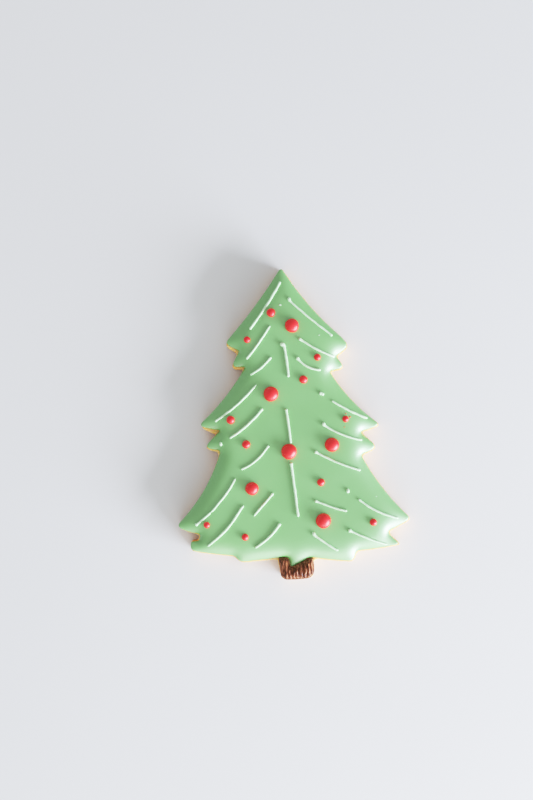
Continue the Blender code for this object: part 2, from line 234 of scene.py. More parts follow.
camera = bpy.data.objects.new("camera", bpy.data.cameras.new("camera"))
camera.data.lens = LENS
camera.data.sensor_fit = "VERTICAL"
camera.data.sensor_height = SENSOR_HEIGHT
camera.location = in_metres((*CAMERA_OVER, CAMERA_HEIGHT))
camera.rotation_euler = (0, 0, CAMERA_TURN)
bpy.context.scene.collection.objects.link(camera)
bpy.context.scene.camera = camera
print("camera over", CAMERA_OVER, "mm of the pattern")

# %% [markdown]
# ## Window light
# A low window to the lower right of the picture does the modelling: it makes the long soft shadow, darkens
# the slopes that turn away and bleaches those that face it. A pale wall at the bottom of the picture puts
# a soft light on the lower edges of the boughs. Sun lamps would give hard shadows and small highlights, so
# the window and the wall are area lights with a width and a height.

# %% Window and wall
WINDOW_BEARING = -35
WINDOW_COLOUR = (0.925, 0.985, 1.13)
WALL_BEARING = -84
WALL_COLOUR = (1.0, 1.0, 0.99)


def way_to(bearing, elevation):
    """The direction from the cookie, in degrees: the bearing in the picture counts from its right edge
    upwards, and the elevation from the table."""
    turned = math.radians(bearing) + CAMERA_TURN
    raised = math.radians(elevation)
    return Vector((math.cos(raised) * math.cos(turned), math.cos(raised) * math.sin(turned), math.sin(raised)))


def soft_light(name, bearing, elevation, distance, size, power, colour):
    """A rectangle of light that faces the cookie. Its distance and size are in millimetres."""
    towards = way_to(bearing, elevation)
    light = bpy.data.objects.new(name, bpy.data.lights.new(name, "AREA"))
    light.data.shape = "RECTANGLE"
    light.data.size, light.data.size_y = size[0] * MM, size[1] * MM
    light.data.energy = power
    light.data.color = colour
    light.location = towards * distance * MM
    light.rotation_euler = towards.to_track_quat("Z", "Y").to_euler()
    bpy.context.scene.collection.objects.link(light)
    print(name, "at", [round(x, 2) for x in light.location])


soft_light("window", WINDOW_BEARING, elevation=13.5, distance=950, size=(700, 300), power=23.9,
           colour=WINDOW_COLOUR)
soft_light("pale_wall", WALL_BEARING, elevation=22, distance=900, size=(700, 350), power=2.6,
           colour=WALL_COLOUR)

# %% [markdown]
# ## The room
# The rest of the room sends light from everywhere, and fills the shadow. An even world would do, but the
# ceiling over the window is brighter than the far side, and the slopes that turn away show it. So the
# strength of the world follows the direction: its product with the way to the bright side runs from -1
# opposite to 1 towards it.

# %% Room light
ROOM_COLOUR = (0.985, 1.0, 1.005)
ROOM_STRENGTH = 0.475
ROOM_TILT = 0.22  # how much brighter than the middle its bright side is, and how much darker the other
BRIGHT_ELEVATION = 55  # of the bright side, in degrees, over the window

room = bpy.data.worlds.new("room")
room.use_nodes = True
room_nodes, room_links = room.node_tree.nodes, room.node_tree.links
direction = room_nodes.new("ShaderNodeTexCoord")
facing = room_nodes.new("ShaderNodeVectorMath")
facing.operation = "DOT_PRODUCT"
facing.inputs[1].default_value = way_to(WINDOW_BEARING, BRIGHT_ELEVATION)
strength = room_nodes.new("ShaderNodeMapRange")
strength.inputs["From Min"].default_value = -1
strength.inputs["To Min"].default_value = ROOM_STRENGTH * (1 - ROOM_TILT)
strength.inputs["To Max"].default_value = ROOM_STRENGTH * (1 + ROOM_TILT)
room_links.new(direction.outputs["Generated"], facing.inputs[0])
room_links.new(facing.outputs["Value"], strength.inputs["Value"])
room_links.new(strength.outputs["Result"], room_nodes["Background"].inputs["Strength"])
room_nodes["Background"].inputs["Color"].default_value = (*ROOM_COLOUR, 1)
bpy.context.scene.world = room
print("room light:", ROOM_STRENGTH, "more or less by a share of", ROOM_TILT)

# %% [markdown]
# ## The tone of the picture
# A photograph of pale things on a pale table bends its bright tones gently, so that a slope facing the
# window goes to creamy white without a hard edge. A film-like view transform could do it, but it would
# also turn the hues. A curve on the plain transform bends the tones alone, and each point of it can be read.

# %% Tone curve
BRIGHTEST = 3.0
TONES = ((0.1, 0.1), (0.245, 0.3), (0.42, 0.5), (0.735, 0.7), (1.51, 0.9))  # scene light, picture light

view = bpy.context.scene.view_settings
view.view_transform = "Standard"
view.look = "None"
view.use_curve_mapping = True
tones = view.curve_mapping
tones.white_level = (BRIGHTEST, BRIGHTEST, BRIGHTEST)
for light, shown in TONES:
    tones.curves[3].points.new(light / BRIGHTEST, shown)
tones.update()
print("tone curve points:", len(tones.curves[3].points))

# %% [markdown]
# ## Finishes from small parts
# Dough, icing and table differ in colour and grain, but each finish is made in the same steps: a noise
# that is tied to the piece, colours blended along that noise, and relief too fine for the mesh. The nodes
# could be joined by hand in the shader editor. As helpers they keep every finish to a few lines that say
# what is done.

# %% Finish, mottling and colours
def new_finish(name, roughness):
    """A material with its tree, its Principled shader and that roughness."""
    finish = bpy.data.materials.new(name)
    finish.use_nodes = True
    shader = finish.node_tree.nodes["Principled BSDF"]
    shader.inputs["Roughness"].default_value = roughness
    return finish, finish.node_tree, shader


def mottling(tree, grain, detail, stretch=(1, 1, 1)):
    """A noise with grains of that size in millimetres, tied to the piece. Its output runs from 0 to 1."""
    place = tree.nodes.new("ShaderNodeTexCoord")
    scaling = tree.nodes.new("ShaderNodeVectorMath")
    scaling.operation = "MULTIPLY"
    scaling.inputs[1].default_value = [1 / (grain * MM * factor) for factor in stretch]
    grains = tree.nodes.new("ShaderNodeTexNoise")
    grains.inputs["Scale"].default_value = 1
    grains.inputs["Detail"].default_value = detail
    tree.links.new(place.outputs["Object"], scaling.inputs[0])
    tree.links.new(scaling.outputs["Vector"], grains.inputs["Vector"])
    return grains.outputs["Fac"]


def colour_steps(tree, driver, steps):
    """Colours blended along the driver's value. Steps are value, colour."""
    ramp = tree.nodes.new("ShaderNodeValToRGB")
    stops = ramp.color_ramp.elements
    while len(stops) < len(steps):
        stops.new(0.5)
    for stop, (value, colour) in zip(stops, steps):
        stop.position = value
        stop.color = (*colour, 1)
    tree.links.new(driver, ramp.inputs["Fac"])
    return ramp.outputs["Color"]


# %% Tint and relief
def tinted(tree, share, colour, tint):
    """The colour multiplied by the tint, in that share."""
    mix = tree.nodes.new("ShaderNodeMix")
    mix.data_type = "RGBA"
    mix.blend_type = "MULTIPLY"
    mix.inputs["Factor"].default_value = share
    tree.links.new(colour, mix.inputs["A"])
    tree.links.new(tint, mix.inputs["B"])
    return mix.outputs["Result"]


def raise_surface(tree, shader, height, depth):
    """Bump on the shader from a height socket, that many millimetres deep, over any bump it has."""
    bump = tree.nodes.new("ShaderNodeBump")
    bump.inputs["Distance"].default_value = depth * MM
    bump.inputs["Strength"].default_value = 1.0
    tree.links.new(height, bump.inputs["Height"])
    for link in list(shader.inputs["Normal"].links):
        tree.links.new(link.from_socket, bump.inputs["Normal"])
    tree.links.new(bump.outputs["Normal"], shader.inputs["Normal"])


# %% [markdown]
# ## The table
# The cookie lies on a plain pale table top. It only catches the shadow and throws a little light back
# under the edges. It could be a slab with edges, but they are far outside the picture, so one flat face is
# enough, with a soft unevenness in its finish. It is not part of the cookie and does not ride with it.

# %% Table top
TABLE_REACH = 4.0  # metres

table_finish, tree, shader = new_finish("pale_table", 0.75)
cloudy = mottling(tree, grain=60, detail=2)
tint = colour_steps(tree, cloudy, ((0.3, (0.78, 0.79, 0.81)), (0.7, (0.79, 0.80, 0.82))))
tree.links.new(tint, shader.inputs["Base Color"])
raise_surface(tree, shader, mottling(tree, grain=1.5, detail=3), 0.01)

table_mesh = bpy.data.meshes.new("table")
edge = TABLE_REACH / 2
table_corners = [(-edge, -edge, 0), (edge, -edge, 0), (edge, edge, 0), (-edge, edge, 0)]
table_mesh.from_pydata(table_corners, [], [(0, 1, 2, 3)])
table_mesh.materials.append(table_finish)
table = bpy.data.objects.new("table", table_mesh)
bpy.context.scene.collection.objects.link(table)
print("table", TABLE_REACH, "m square")

# %% [markdown]
# ## Working inside a line
# Biscuit, icing and bark are each a flat shape with a height at every point. A rounded edge needs to know
# how far in from the line a point is, and the mesh needs points that follow the line closely where the
# surface turns most. A filled curve with a bevel would do both, but it overlaps itself in the tight notches.

# %% Measuring from the edge
BATCH = 400
ALMOST_LEVEL = 1e-12


def edge_distance(points, line):
    """The plain distance from each point to the nearest side of the line."""
    ways = np.roll(line, -1, axis=0) - line
    squares = (ways**2).sum(axis=1)
    nearest = np.empty(len(points))
    for first in range(0, len(points), BATCH):
        reach = points[first : first + BATCH, None] - line
        share = np.clip((reach * ways).sum(axis=2) / squares, 0, 1)
        gap = reach - share[..., None] * ways
        nearest[first : first + BATCH] = np.sqrt((gap**2).sum(axis=2).min(axis=1))
    return nearest


def is_inside(points, line):
    """Whether each point lies inside the line, by counting the sides that a ray to +X crosses."""
    crossings = np.zeros(len(points), int)
    for (x0, y0), (x1, y1) in zip(line, np.roll(line, -1, axis=0)):
        spans = (y0 > points[:, 1]) != (y1 > points[:, 1])
        rise = y1 - y0 if y1 != y0 else ALMOST_LEVEL
        crossings += spans & (points[:, 0] < x0 + (points[:, 1] - y0) * (x1 - x0) / rise)
    return crossings % 2 == 1


def inward(line):
    """The direction into the shape at each point of the line."""
    ways = np.roll(line, -1, axis=0) - np.roll(line, 1, axis=0)
    return np.stack([ways[:, 1], -ways[:, 0]], axis=1) / np.hypot(*ways.T)[:, None]


middle = np.array([(0.0, 50.0)])
print("the icing's edge is", edge_distance(middle, icing_line).round(1), "mm from its middle")

# %% Points for a mesh inside a line
CROWDED = 0.97  # a row drops its points that are nearer to the line than this share of their inset
SAME_PLACE = 1e-5
INSIDE_ONLY = 1


def filled_with_points(line, insets, step, margin):
    """Points that follow the line at each inset, then a staggered grid further in than the margin."""
    rows = [line + inset * inward(line) for inset in insets]
    rows = [row[is_inside(row, line)] for row in rows]
    rows = [row[edge_distance(row, line) > CROWDED * inset] for row, inset in zip(rows, insets)]
    low, high = line.min(axis=0), line.max(axis=0)
    step_x, step_y = step
    grid = []
    for number, y in enumerate(np.arange(low[1], high[1], step_y)):
        for x in np.arange(low[0] + (number % 2) * step_x / 2, high[0], step_x):
            grid.append((x, y))
    grid = np.array(grid)
    grid = grid[is_inside(grid, line)]
    grid = grid[edge_distance(grid, line) > margin]
    return np.concatenate([*rows, grid])


def triangulated(line, inner):
    """The line and the points inside it, joined into triangles. The line's points stay first."""
    places = [tuple(point) for point in np.concatenate([line, inner])]
    sides = [(i, (i + 1) % len(line)) for i in range(len(line))]
    flat, _, triangles, _, _, _ = delaunay_2d_cdt(places, sides, [], INSIDE_ONLY, SAME_PLACE)
    return np.array([tuple(point) for point in flat]), [tuple(corners) for corners in triangles]


# %% [markdown]
# ## Pieces and crumb
# Every piece ends the same way: its places become metres, it gets its finish and rides with the cookie. Its
# faces between two rows of points could be made by a modifier, but a short function keeps their order known.
# Unevenness comes from noise on the points themselves, because a bump in the finish would leave the outline
# of a piece smooth.

# %% Bands, pieces and crumb
def band(upper, lower, count):
    """Faces between two closed rows of vertices, given by the number of each row's first vertex."""
    return [(upper + i, upper + (i + 1) % count, lower + (i + 1) % count, lower + i) for i in range(count)]


def add_piece(name, vertices, faces, finish, slot):
    """A smooth mesh object from pattern places in millimetres. It rides with the cookie."""
    mesh = bpy.data.meshes.new(name)
    mesh.from_pydata(in_metres(vertices).tolist(), [], faces)
    mesh.materials.append(finish)
    mesh.shade_smooth()
    mesh.validate()
    piece = bpy.data.objects.new(name, mesh)
    bpy.context.scene.collection.objects.link(piece)
    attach(piece, "root")
    triangles = sum(len(face.vertices) - 2 for face in mesh.polygons)
    print(f"{name}: {len(mesh.vertices)} vertices, {triangles} triangles")
    return piece


def crumble(points, grain, depth, seed):
    """A rough value at each place, from 0 to the depth, with grains of that size."""
    shift = Vector((seed * 17.3, seed * 5.1, seed * 9.7))
    return np.array([depth * (0.5 + 0.5 * noise.noise(Vector(point) / grain + shift)) for point in points])


# %% [markdown]
# ## Baked dough
# A baked biscuit is golden, paler towards the top and browned at its base, where it lay on the hot tray. It
# is freckled, and light sinks into it a little. A photograph of a biscuit could be wrapped round it, but it
# would repeat and stretch. So the colour follows the height over the table, then is tinted by two noises.

# %% Baked finish
BISCUIT_HEIGHT = 6.0

baked, tree, shader = new_finish("baked_dough", 0.85)
place = tree.nodes.new("ShaderNodeTexCoord")
apart = tree.nodes.new("ShaderNodeSeparateXYZ")
tree.links.new(place.outputs["Object"], apart.inputs[0])
height = tree.nodes.new("ShaderNodeMapRange")
height.inputs["From Max"].default_value = BISCUIT_HEIGHT * MM
tree.links.new(apart.outputs["Z"], height.inputs["Value"])
golden = colour_steps(tree, height.outputs["Result"], (
    (0.0, (0.52, 0.26, 0.08)),
    (0.18, (0.76, 0.44, 0.15)),
    (0.5, (0.90, 0.53, 0.20)),
    (1.0, (0.96, 0.58, 0.25)),
))
patchy = mottling(tree, grain=3.0, detail=4)
patches = colour_steps(tree, patchy, ((0.35, (0.9, 0.82, 0.7)), (0.65, (1.0, 1.0, 1.0))))
freckled = mottling(tree, grain=0.35, detail=3)
freckles = colour_steps(tree, freckled, ((0.3, (0.7, 0.55, 0.4)), (0.45, (1.0, 1.0, 1.0))))
toasted = tinted(tree, 0.6, tinted(tree, 1.0, golden, patches), freckles)
tree.links.new(toasted, shader.inputs["Base Color"])
shader.inputs["Subsurface Weight"].default_value = 0.5
shader.inputs["Subsurface Radius"].default_value = (2.5 * MM, 1.2 * MM, 0.4 * MM)
shader.inputs["Subsurface Scale"].default_value = 1
raise_surface(tree, shader, mottling(tree, grain=0.7, detail=4), 0.10)
raise_surface(tree, shader, mottling(tree, grain=0.18, detail=2), 0.04)
print("finish:", baked.name)

# %% [markdown]
# ## The biscuit
# A rolled and cut dough bakes with a straight wall, a softly rounded upper edge and a flat base. The wall
# shows as a thin golden rim. It could be the plain solid with a bump map, but a low side view would betray
# a smooth wall. So the wall is a stack of rows, each point pushed in by noise at two sizes of crumb.

# %% The cut slab
UPPER_ROUND = 0.6
LOWER_ROUND = 0.45
ROUND_STEPS = 6
WALL_ROWS = 14
TOP_ROWS = (1.2,)
TOP_GRID = (3.0, 2.6)  # coarse, as the icing hides it
BASE_ROWS = (1.0, 1.7)
BASE_GRID = (1.1, 0.95)
GRID_MARGIN = 2.2


def rounding_insets(radius):
    """How far in the rows of a rounded edge lie, from where it leaves the flat to just before the wall."""
    angles = np.linspace(0, math.pi / 2, ROUND_STEPS + 1)
    return (radius * (1 - np.sin(angles)))[:-1]


def edge_drop(distance, radius):
    """How far a rounded edge has dropped at that distance from the line."""
    inset = np.clip(distance / radius, 0, 1)
    return radius * (1 - np.sqrt(1 - (1 - inset) ** 2))


def make_biscuit():
    """The cut slab: its top and underside each a net of points, with rows of wall between them."""
    line, count = biscuit_line, len(biscuit_line)
    top_insets = (*rounding_insets(UPPER_ROUND), *TOP_ROWS)
    base_insets = (*rounding_insets(LOWER_ROUND), *BASE_ROWS)
    top, top_faces = triangulated(line, filled_with_points(line, top_insets, TOP_GRID, GRID_MARGIN))
    base, base_faces = triangulated(line, filled_with_points(line, base_insets, BASE_GRID, GRID_MARGIN))
    top_z = BISCUIT_HEIGHT - edge_drop(edge_distance(top, line), UPPER_ROUND)
    base_z = edge_drop(edge_distance(base, line), LOWER_ROUND)
    wall_z = np.linspace(BISCUIT_HEIGHT - UPPER_ROUND, LOWER_ROUND, WALL_ROWS)[1:-1]
    parts = [np.column_stack([top, top_z])]
    parts += [np.column_stack([line, np.full(count, z)]) for z in wall_z]
    parts += [np.column_stack([base, base_z])]
    starts = np.cumsum([0] + [len(part) for part in parts])
    faces = list(top_faces)
    for upper, lower in zip(starts[:-2], starts[1:-1]):
        faces += band(upper, lower, count)
    faces += [tuple(starts[-2] + i for i in reversed(corners)) for corners in base_faces]
    return np.concatenate(parts), faces


# %% Crumb on the slab
CRUMBS = ((2.2, 0.16, 1), (0.8, 0.10, 2))  # size of the grains, depth, seed
WALL_SKIN = 0.7  # how far in from the line a point still counts as wall
UNDERSIDE_SHARE = 0.6
ON_TABLE = 1e-6


def roughen(vertices, line):
    """Pushes the wall in, and the underside up, by two sizes of crumb."""
    crumb = sum(crumble(vertices, *size) for size in CRUMBS)
    inwards = inward(line)
    in_wall = edge_distance(vertices[:, :2], line) < WALL_SKIN
    for i in np.flatnonzero(in_wall):
        nearest = np.argmin(((line - vertices[i, :2]) ** 2).sum(axis=1))
        vertices[i, :2] += crumb[i] * inwards[nearest]
    under = (vertices[:, 2] < ON_TABLE) & ~in_wall
    vertices[under, 2] += UNDERSIDE_SHARE * crumb[under]
    return vertices


slab, slab_faces = make_biscuit()
biscuit = add_piece("biscuit_crumb", roughen(slab, biscuit_line), slab_faces, baked, "baked_biscuit")
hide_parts("biscuit")

# %% [markdown]
# ## A skin of icing
# Runny icing is poured inside a line and stands up on its own surface tension, as a skin held down all
# round: a steep lip, a slope that eases off over several millimetres, domed boughs, and a nearly level
# middle with slow waves. A height that follows the distance to the line would fold into ridges along the
# boughs. So the skin is relaxed on the mesh, as it would be by nature: every point is pulled by its
# neighbours and pushed up by the icing.

# %% A skin that settles
STRONGEST_PULL = 12.0  # between two points, so that a sliver of a triangle can't lock them together
SETTLED = 1e-7
SMALLEST_AREA = 1e-9


def pulls_and_areas(flat, triangles):
    """How strongly each pair of points pulls together, and how much of the net belongs to each point."""
    corners = np.array(triangles)
    area = np.zeros(len(flat))
    pulls = []
    for turn in range(3):
        here, left, right = (corners[:, (turn + i) % 3] for i in range(3))
        to_left, to_right = flat[left] - flat[here], flat[right] - flat[here]
        twice_area = abs(to_left[:, 0] * to_right[:, 1] - to_left[:, 1] * to_right[:, 0])
        cotangent = (to_left * to_right).sum(axis=1) / np.maximum(twice_area, SMALLEST_AREA)
        pulls.append((left, right, np.clip(cotangent, -STRONGEST_PULL, STRONGEST_PULL) / 2))
        area += np.bincount(here, twice_area / 6, len(flat))
    return pulls, area


def settled_skin(flat, triangles, held, reach):
    """Heights of a skin that is held at 0 at its first points and would stand at 1 elsewhere. Reach is how
    far in from a straight edge it has come to two thirds of that. Solved by conjugate gradients."""
    pulls, area = pulls_and_areas(flat, triangles)
    push = area / reach**2

    def load(height):
        total = push * height
        for left, right, pull in pulls:
            flow = pull * (height[left] - height[right])
            total += np.bincount(left, flow, len(flat)) - np.bincount(right, flow, len(flat))
        total[:held] = 0
        return total

    height = np.zeros(len(flat))
    rest = push.copy()
    rest[:held] = 0
    way, strength = rest.copy(), rest @ rest
    goal = strength * SETTLED
    steps = 0
    while strength > goal:
        loaded = load(way)
        share = strength / (way @ loaded)
        height += share * way
        rest -= share * loaded
        strength, before = rest @ rest, strength
        way = rest + strength / before * way
        steps += 1
    print("the skin settled in", steps, "steps")
    return height


# %% [markdown]
# ## The height of the icing
# The settled skin says how far in from an edge each point feels to be. The swell grows with that and then
# levels off, the lip gives the steep start, and a slow noise adds the waves of a hand that shook the
# cookie. A sculpted height would look as good once, but this one can be poured again with other numbers.

# %% Lip, swell and waves
ICING_LIP = 0.40
LIP_WIDTH = 0.45
ICING_SWELL = 2.4
SKIN_REACH = 2.8
SWELL_REACH = 3.0
FULLY_IN = 0.999  # a skin this near 1 counts as the middle
WAVE_LENGTH = 9.0
WAVE_HEIGHT = 0.10
WAVE_SEED = 3
EDGE_INSETS = (0.02, 0.07, 0.15, 0.25, 0.38, 0.53, 0.7, 0.95, 1.3, 1.7, 2.2, 2.8)
ICING_GRID = (0.7, 0.61)
ICING_MARGIN = EDGE_INSETS[-1] + 0.5

icing_flat, icing_faces = triangulated(
    icing_line, filled_with_points(icing_line, EDGE_INSETS, ICING_GRID, ICING_MARGIN))
inset = np.clip(edge_distance(icing_flat, icing_line) / LIP_WIDTH, 0, 1)
lip = ICING_LIP * np.sqrt(1 - (1 - inset) ** 2)
skin = settled_skin(icing_flat, icing_faces, len(icing_line), SKIN_REACH)
depth = -SKIN_REACH * np.log(1 - np.clip(skin, 0, FULLY_IN))  # as far in from a straight edge
swell = ICING_SWELL * np.tanh(depth / SWELL_REACH)
on_table = np.pad(icing_flat, ((0, 0), (0, 1)))
waves = crumble(on_table, WAVE_LENGTH, WAVE_HEIGHT, WAVE_SEED) - WAVE_HEIGHT
icing_skin = np.column_stack([icing_flat, BISCUIT_HEIGHT + lip + swell + waves * swell / ICING_SWELL])
print("icing from", icing_skin[:, 2].min().round(2), "to", icing_skin[:, 2].max().round(2), "mm high")

# %% [markdown]
# ## Asking for the icing's height
# Needles and baubles lie on the icing, so they need its height at any place. Working the formula out again
# would not do, as the skin was settled on its own points. A ray dropped on the finished surface always
# finds it, and the search tree makes that quick.

# %% Height at a place
icing_tree = BVHTree.FromPolygons(icing_skin.tolist(), icing_faces)
RAY_START = 2 * BISCUIT_HEIGHT
DOWN = Vector((0, 0, -1))


def icing_top(points):
    """How high the icing stands over the table at each place of the pattern."""
    tops = []
    for x, y in points:
        hit = icing_tree.ray_cast(Vector((x, y, RAY_START)), DOWN)[0]
        tops.append((hit or icing_tree.find_nearest(Vector((x, y, BISCUIT_HEIGHT)))[0]).z)
    return np.array(tops)


print("icing over the middle:", icing_top([(0.0, 50.0)]).round(2), "mm high")

# %% [markdown]
# ## The look of dried icing
# Dried flood icing is a pale green with a satin sheen: it takes the tone of the room on the level parts and
# a broad soft highlight on the slopes to the window. A thin coat over a matt base could give that, but one
# plain layer with a high index of refraction does too: its colour is deeper than it looks, and the sheen
# makes it pale.

# %% Icing finish
SHEEN_INDEX = 2.0  # more than that of sugar, about 1.55, for a broader sheen

icing_finish, tree, shader = new_finish("satin_green_icing", 0.50)
uneven = mottling(tree, grain=14, detail=2)
shade = colour_steps(tree, uneven, ((0.3, (0.117, 0.404, 0.078)), (0.7, (0.130, 0.426, 0.095))))
tree.links.new(shade, shader.inputs["Base Color"])
shader.inputs["IOR"].default_value = SHEEN_INDEX
shader.inputs["Specular IOR Level"].default_value = 1.0
raise_surface(tree, shader, mottling(tree, grain=1.6, detail=2), 0.012)
raise_surface(tree, shader, mottling(tree, grain=0.3, detail=2), 0.004)
print("finish:", icing_finish.name)

# %% [markdown]
# ## Flood icing
# The icing ends in the soft rounding of the biscuit's upper edge, so its own edge has to reach a little
# lower than the biscuit's top. A skin that simply ended at that height would show a gap from the side. So
# it is closed by two rows that go in and down, and by a flat underside inside the biscuit.

# %% Flood icing on the tree
TUCK = ((0.04, 5.85), (0.2, 5.65))  # how the icing's edge tucks in under itself: inset, height


def make_flood_icing():
    """The icing from its skin, closed by an edge that tucks in and a flat underside."""
    count = len(icing_line)
    faces = list(icing_faces)
    parts = [icing_skin]
    for inset, z in TUCK:
        parts.append(np.column_stack([icing_line + inset * inward(icing_line), np.full(count, z)]))
    starts = np.cumsum([0] + [len(part) for part in parts])
    for upper, lower in zip(starts[:-2], starts[1:-1]):
        faces += band(upper, lower, count)
    faces.append(tuple(starts[-2] + i for i in range(count)))
    return np.concatenate(parts), faces


flood = add_piece("flood_icing", *make_flood_icing(), icing_finish, "green_icing")
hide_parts("green_icing")

# %% [markdown]
# ## Where the needles lie
# The needles of the tree are strokes of very pale icing, fanned out along the boughs as a hand drew them.
# They could be scattered by a rule, but the eye knows a drawn tree from a sprinkled one. So each stroke is
# written down, with its own width and its own blobs.

# %% The strokes
# From the first point to the last: x, y to x, y, how far the middle bows to the left of that way, the
# width, then how many times its width the thread has at its start and at its end.
NEEDLES = (
    (-0.4, 97.0, -11.2, 81.8, 0.4, 0.8, 1.1, 1.2),
    (-4.5, 82.7, -12.8, 72.2, 0.3, 0.7, 0.8, 1.2),
    (-4.6, 72.5, -11.8, 67.0, 0.5, 0.7, 1.3, 0.8),
    (-9.8, 63.8, -24.0, 52.4, 0.7, 0.7, 0.7, 1.5),
    (-8.2, 55.9, -19.4, 46.7, 0.6, 0.8, 1.3, 0.8),
    (-6.8, 43.9, -16.2, 36.4, 1.0, 0.7, 1.4, 1.0),
    (-18.4, 33.2, -32.0, 18.9, 1.1, 0.7, 1.2, 2.3),
    (-16.4, 24.4, -28.4, 11.9, 1.0, 0.8, 0.8, 1.1),
    (-6.1, 28.3, -12.8, 21.1, 0.0, 0.7, 1.6, 0.8),
    (-4.3, 18.4, -12.9, 10.7, 0.7, 0.8, 1.5, 1.0),
    (-0.5, 77.0, 0.7, 65.7, 0.2, 0.9, 1.9, 1.2),
    (-0.55, 55.5, 0.45, 44.1, 0.0, 0.8, 1.5, 1.0),
    (0.15, 37.9, 1.65, 20.2, 0.0, 0.9, 1.5, 1.1),
    (1.6, 91.2, 15.7, 78.5, -0.3, 0.65, 2.0, 1.2),
    (4.6, 78.1, 16.2, 71.5, -0.4, 0.7, 1.5, 1.0),
    (3.6, 72.1, 11.4, 67.5, -1.1, 0.7, 2.3, 1.0),
    (10.4, 60.2, 12.0, 59.4, 0.0, 0.8, 1.6, 1.4),
    (14.3, 57.4, 25.9, 51.1, -0.4, 0.7, 0.9, 0.8),
    (10.9, 50.1, 23.8, 44.1, -0.9, 0.7, 2.2, 0.9),
    (8.0, 41.2, 22.7, 34.2, -0.5, 0.7, 2.0, 1.2),
    (21.4, 25.0, 34.4, 18.0, -0.9, 0.7, 0.9, 0.9),
    (7.2, 25.2, 17.6, 21.2, -0.2, 0.7, 1.8, 1.1),
    (17.7, 15.2, 30.4, 9.5, -0.3, 0.7, 2.6, 0.8),
    (6.1, 14.5, 14.2, 8.5, -0.3, 0.7, 1.8, 1.0),
)
# Strokes whose start was dragged sideways, by their number in the list: how far, x, y
DRAGGED_STARTS = {
    6: (0.3, 0.4),
    7: (0.6, 0.3),
    10: (-1.0, -0.1),
    13: (0.2, 0.4),
    18: (0.1, 0.3),
    23: (0.0, 0.5),
}
THREAD_BREAKS = {6: 13.1}  # where a stroke nearly tore, by its number: how far from its start
print("needles:", len(NEEDLES))

# %% [markdown]
# ## One stroke
# Each needle is one stroke of stiff icing from a fine tip: a blob where the bag touches down, a round
# thread laid on the surface, and a thin or blunt end where it is pulled away. A curve with a bevel is
# quick, but its width is even. So each stroke is lofted from rings whose width follows the hand: the start,
# the tremble, the tail.

# %% Way and width of a stroke
DRAG_LENGTH = 0.55
SWAY = 0.10
SWAY_LENGTH = 2.6
TREMBLE = 0.18
TREMBLE_LENGTH = 1.7
BLOB_LENGTH = 0.9
TAIL_LENGTH = 0.7
BREAK_LENGTH = 0.3
BREAK_SHARE = 0.75
END_ROUND = 0.45
SMALLEST_END = 0.02


def bump_at(distance, length):
    """A smooth bump of height 1 that fades over that length."""
    return np.exp(-((distance / length) ** 2))


def hand_noise(along, length, *place):
    """The unsteadiness of a hand along the way, with swings of about that length."""
    return np.array([noise.noise(Vector((distance / length, *place))) for distance in along])


def stroke_way(number, needle, shares, along):
    """The places along a stroke, bowed, swayed and dragged at its start, and the way across it at each."""
    x0, y0, x1, y1, bow = needle[:5]
    start, end = np.array([x0, y0]), np.array([x1, y1])
    way = np.array([side(start, end, bow, share) for share in shares])
    way += bump_at(along, DRAG_LENGTH)[:, None] * np.array(DRAGGED_STARTS.get(number, (0, 0)))
    steps = np.gradient(way, axis=0)
    across = np.stack([-steps[:, 1], steps[:, 0]], axis=1) / np.hypot(*steps.T)[:, None]
    sway = SWAY * hand_noise(along, SWAY_LENGTH, number * 5.3, 7.5)
    return way + sway[:, None] * across, across


def stroke_radius(number, needle, along, to_go):
    """Half the thread's width along a stroke: trembling, thicker at its start and end, and rounded off."""
    width, at_start, at_end = needle[5:]
    radius = width / 2 * (1 + TREMBLE * hand_noise(along, TREMBLE_LENGTH, number * 3.7, 0.5))
    radius *= 1 + (at_start - 1) * bump_at(along, BLOB_LENGTH)
    radius *= 1 + (at_end - 1) * bump_at(to_go, TAIL_LENGTH)
    if number in THREAD_BREAKS:
        radius *= 1 - BREAK_SHARE * bump_at(along - THREAD_BREAKS[number], BREAK_LENGTH)
    rounded = np.minimum(along / at_start, to_go / at_end) / (END_ROUND * width)
    return radius * np.sqrt(1 - (1 - np.clip(rounded, SMALLEST_END, 1)) ** 2)


# %% Laying one stroke
RING_POINTS = 14
RING_STEP = 0.28
FEWEST_RINGS = 8
THREAD_SINK = 0.2


def stroke_rings(number, needle):
    """The rings of one piped stroke and their faces: round, laid on the icing, closed at both ends."""
    x0, y0, x1, y1, _, width = needle[:6]
    length = np.hypot(x1 - x0, y1 - y0)
    steps = max(FEWEST_RINGS, round(length / RING_STEP))
    shares = np.linspace(0, 1, steps + 1)
    along = shares * length
    way, across = stroke_way(number, needle, shares, along)
    radius = stroke_radius(number, needle, along, length - along)
    core = icing_top(way) + width / 2 - THREAD_SINK
    rings = []
    for centre, z, r, aside in zip(way, core, radius, across):
        for angle in np.arange(RING_POINTS) * 2 * math.pi / RING_POINTS:
            x, y = centre + r * math.cos(angle) * aside
            rings.append((x, y, z + r * math.sin(angle)))
    faces = []
    for row in range(steps):
        faces += band(row * RING_POINTS, (row + 1) * RING_POINTS, RING_POINTS)
    faces.append(tuple(reversed(range(RING_POINTS))))
    faces.append(tuple(steps * RING_POINTS + i for i in range(RING_POINTS)))
    return rings, faces


def joined(parts):
    """Several meshes as one list of vertices and one of faces."""
    vertices, faces = [], []
    for part_vertices, part_faces in parts:
        first = len(vertices)
        vertices += [tuple(vertex) for vertex in part_vertices]
        faces += [tuple(first + i for i in face) for face in part_faces]
    return vertices, faces


